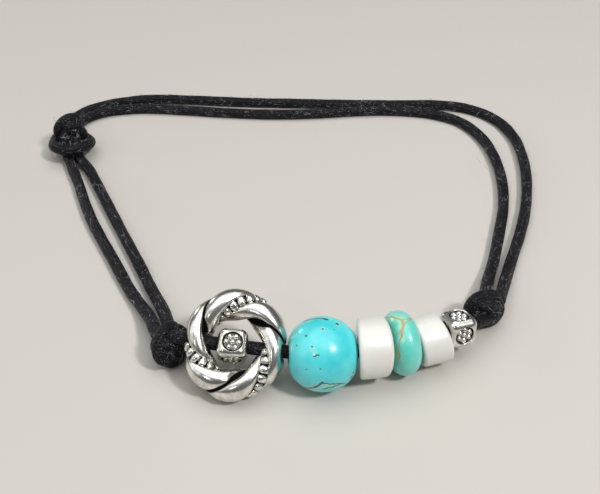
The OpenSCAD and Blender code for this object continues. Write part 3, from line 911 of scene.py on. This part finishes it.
RONDELLE_STAINS = [
    ((-0.3, 0.3, 4.3), 1.2, 0.7), ((-0.5, -0.9, 4.2), 0.9, 0.6), ((-0.9, 1.2, 4), 1.2, 0.7),
    ((-1.7, -3.2, 1.2), 0.9, 0.6), ((-1, -2.4, 3.4), 0.7, 0.5), ((1.4, 0.7, 3.8), 0.7, 0.5),
]


def stone_profile(outer, hole_r, steps):
    """Half outline of a drilled bead as a closed line of (x, r): over the outside from the left
    face to the right, then back along the hole."""
    x, r = outer[outer[:, 1] > hole_r + 0.08].T
    rim_r = [hole_r + 0.05]
    line = np.stack([np.concatenate([x[:1], x, x[-1:]]), np.concatenate([rim_r, r, rim_r])], axis=1)
    bore = np.stack([np.linspace(x[-1] - 0.06, x[0] + 0.06, 12), np.full(12, hole_r)], axis=1)
    line = np.vstack([line, bore, line[:1]])
    run = np.concatenate([[0], np.cumsum(np.hypot(*np.diff(line, axis=0).T))])
    at = np.linspace(0, run[-1], steps, endpoint=False)
    return np.interp(at, run, line[:, 0]), np.interp(at, run, line[:, 1])


def rounded_rim(diameter, length, edge, crown=0.0):
    """Outer outline of a short cylinder with rounded rims, its side crowned by a parabola."""
    radius = diameter / 2
    turn = np.linspace(0, np.pi / 2, 9)
    left = np.stack([-length / 2 + edge - edge * np.cos(turn),
                     radius - edge + edge * np.sin(turn)], axis=1)
    x = np.linspace(-length / 2 + edge, length / 2 - edge, 24)[1:-1]
    side = np.stack([x, np.full_like(x, radius)], axis=1)
    line = np.vstack([left, side, left[::-1] * (-1, 1)])
    line[:, 1] -= crown * (line[:, 0] / (length / 2)) ** 2
    return line


def barrel_outline(diameter, length):
    """Outer outline of the barrel: a circle cut by two end arcs of 10 mm, with a worn edge."""
    r = np.linspace(0, diameter / 2, 400)[1:]
    end = np.sqrt(100 - r**2) - (10 - length / 2)
    side = np.sqrt(np.clip((diameter / 2) ** 2 - r**2, 0, None))
    x = -np.log(np.exp(-end * 14) + np.exp(-side * 14)) / 14  # a smooth least of the two
    keep = x > 0
    half = np.stack([x[keep], r[keep]], axis=1)
    return np.vstack([half * (-1, 1), half[::-1]])


def stone_piece(name, node, outline, hole_r, pose, material, tilts=((0, 0), (0, 0)),
                marks=(), stains_and_highlight=()):
    """A drilled bead turned about X: (x, r cos a, r sin a) along its outline. tilts are the
    slants of the left and the right face, in degrees about Z and about Y, and each fades out
    towards the other face. marks and stains are in the bead's own frame; the barrel's stains
    hold one painted highlight."""
    sides, steps = 192, 200
    x, r = stone_profile(outline, hole_r, steps)
    angle = np.linspace(0, 2 * np.pi, sides, endpoint=False)
    y, z = r[:, None] * np.cos(angle), r[:, None] * np.sin(angle)
    x = np.broadcast_to(x[:, None], y.shape)
    right = (x - x.min()) / (x.max() - x.min())
    (left_y, left_z), (right_y, right_z) = -np.tan(np.radians(tilts))
    x = x + (1 - right) * (left_y * y + left_z * z) + right * (right_y * y + right_z * z)
    points = np.stack([x, y, z], axis=-1).reshape(-1, 3)
    vein = np.zeros(len(points))
    for line, width in marks:
        line = np.asarray(line, float)
        line = evenly(line, 0.08) if len(line) > 1 else line
        # The line is brought onto the stone's surface, point by point
        line = points[((points[:, None] - line[None]) ** 2).sum(-1).argmin(0)]
        away = np.sqrt(((points[:, None] - line[None]) ** 2).sum(-1).min(1))
        vein = np.maximum(vein, np.clip(1.25 - away / width, 0, 1))
    stain_and_highlight = np.zeros(len(points))
    for centre, reach, strength in stains_and_highlight:
        away = np.linalg.norm(points - np.asarray(centre, float), axis=1)
        stain_and_highlight = np.maximum(stain_and_highlight, strength * smooth(reach, reach * 0.3, away))
    make_mesh(name, placed(points, pose), quads(steps, sides, wrap_rows=True), material,
              node, values={"vein": vein, "stain_and_highlight": stain_and_highlight})


class ANKLET_OT_stones(bpy.types.Operator):
    """Turquoise and white stones"""

    bl_idname = "anklet.stones"
    bl_label = "Stones"

    def execute(self, context):
        s = chosen(context.scene.anklet_stones)
        hole_r = s.hole_d / 2
        # The discs' lengths, rim roundings and crowns below are in millimetres
        blue = polished_stone("blue_dyed_howlite", s.blue, s.blue_deep, s.vein, 0.38)
        green = polished_stone("green_dyed_howlite", s.green, s.green_deep, s.green_vein, 0.38)
        white = polished_stone("white_howlite", s.white, s.white_deep, s.vein, 0.4)
        stone_piece("barrel_stone", "barrel_bead", barrel_outline(s.barrel_d, s.barrel_len),
                    hole_r, BARREL_AT, blue,
                    marks=BARREL_MARKS, stains_and_highlight=BARREL_STAINS_AND_HIGHLIGHT)
        stone_piece("white_large_stone", "white_bead_large",
                    rounded_rim(s.white_large_d, 3.65, 0.45, 0.06),
                    hole_r, WHITE_LARGE_AT, white, tilts=((-9, 5), (2.9, -3.7)))
        stone_piece("rondelle_stone", "rondelle_bead", rounded_rim(s.rondelle_d, 3.7, 1.8),
                    hole_r, RONDELLE_AT, green,
                    marks=RONDELLE_MARKS, stains_and_highlight=RONDELLE_STAINS)
        stone_piece("white_small_stone", "white_bead_small",
                    rounded_rim(s.white_small_d, 3.9, 0.45, 0.05),
                    hole_r, WHITE_SMALL_AT, white, tilts=((0, 5), (6.7, 5.5)))
        return {"FINISHED"}


# Stage


class ANKLET_OT_stage(bpy.types.Operator):
    """Pale floor and soft studio light"""

    bl_idname = "anklet.stage"
    bl_label = "Stage"

    def execute(self, context):
        # Matt painted board
        pale = start_material("pale_floor")
        finish_material(pale, {"Base Color": linear("#bfbab3"), "Roughness": 0.75})
        mesh = bpy.data.meshes.new("floor")
        mesh.from_pydata([(-2, -2, 0), (2, -2, 0), (2, 2, 0), (-2, 2, 0)], [], [(0, 1, 2, 3)])
        mesh.materials.append(pale)
        floor = bpy.data.objects.new("floor", mesh)
        context.collection.objects.link(floor)
        row = (0, -0.03, 0.005)
        # Name, place and target in metres, size in metres, watts
        for name, place, target, size, watts in (
            ("key", (0.24, -0.21, 0.385), (0.005, -0.034, 0.005), 0.07, 1.5),
            ("sky", (-0.03, 0.05, 0.6), (0, 0, 0), 0.9, 3.3),
            ("window", (-0.2, -0.33, 0.3), row, 0.06, 0.12),
            ("left", (-0.5, -0.1, 0.3), row, 0.5, 0.6),
            ("back", (-0.38, 0.4, 0.12), row, 0.12, 0.25),
        ):
            data = bpy.data.lights.new(name, "AREA")
            data.shape = "DISK"
            data.size = size
            data.energy = watts
            lamp = bpy.data.objects.new(name, data)
            lamp.location = place
            x, y, z = np.subtract(place, target)
            lamp.rotation_euler = (math.atan2(math.hypot(x, y), z), 0, math.atan2(x, -y))
            context.collection.objects.link(lamp)
        world = bpy.data.worlds.new("studio")
        world.use_nodes = True
        background = world.node_tree.nodes["Background"]
        background.inputs["Color"].default_value = linear("#dfe3e8")
        background.inputs["Strength"].default_value = 0.16
        context.scene.world = world
        context.scene.view_settings.view_transform = "Standard"
        return {"FINISHED"}


class ANKLET_PT_panel(bpy.types.Panel):
    """Sizes, colours and pieces of the anklet"""

    bl_label = "Beaded thread anklet"
    bl_idname = "ANKLET_PT_panel"
    bl_space_type = "VIEW_3D"
    bl_region_type = "UI"
    bl_category = "Anklet"

    def draw(self, context):
        for group in GROUPS:
            settings = getattr(context.scene, group)
            box = self.layout.box()
            for name in settings.__annotations__:
                box.prop(settings, name)
        for kind in OPERATORS:
            self.layout.operator(kind.bl_idname)


OPERATORS = (ANKLET_OT_camera, ANKLET_OT_threads, ANKLET_OT_knots, ANKLET_OT_fibres,
             ANKLET_OT_wreath, ANKLET_OT_cubes, ANKLET_OT_stones, ANKLET_OT_stage)
GROUPS = {"anklet_threads": AnkletThreads, "anklet_metal": AnkletMetal,
          "anklet_stones": AnkletStones}


def register():
    """Registers the classes and hangs the settings on the scene."""
    for kind in (*GROUPS.values(), *OPERATORS, ANKLET_PT_panel):
        bpy.utils.register_class(kind)
    for name, kind in GROUPS.items():
        setattr(bpy.types.Scene, name, bpy.props.PointerProperty(type=kind))


def unregister():
    """Takes away what register added."""
    for name in GROUPS:
        delattr(bpy.types.Scene, name)
    for kind in (ANKLET_PT_panel, *reversed(OPERATORS), *reversed(list(GROUPS.values()))):
        bpy.utils.unregister_class(kind)


def main():
    register()
    bpy.ops.anklet.camera()
    bpy.ops.anklet.threads()
    bpy.ops.anklet.knots()
    bpy.ops.anklet.fibres()
    bpy.ops.anklet.wreath()
    bpy.ops.anklet.cubes()
    bpy.ops.anklet.stones()
    bpy.ops.anklet.stage()


if __name__ == "__main__":
    main()
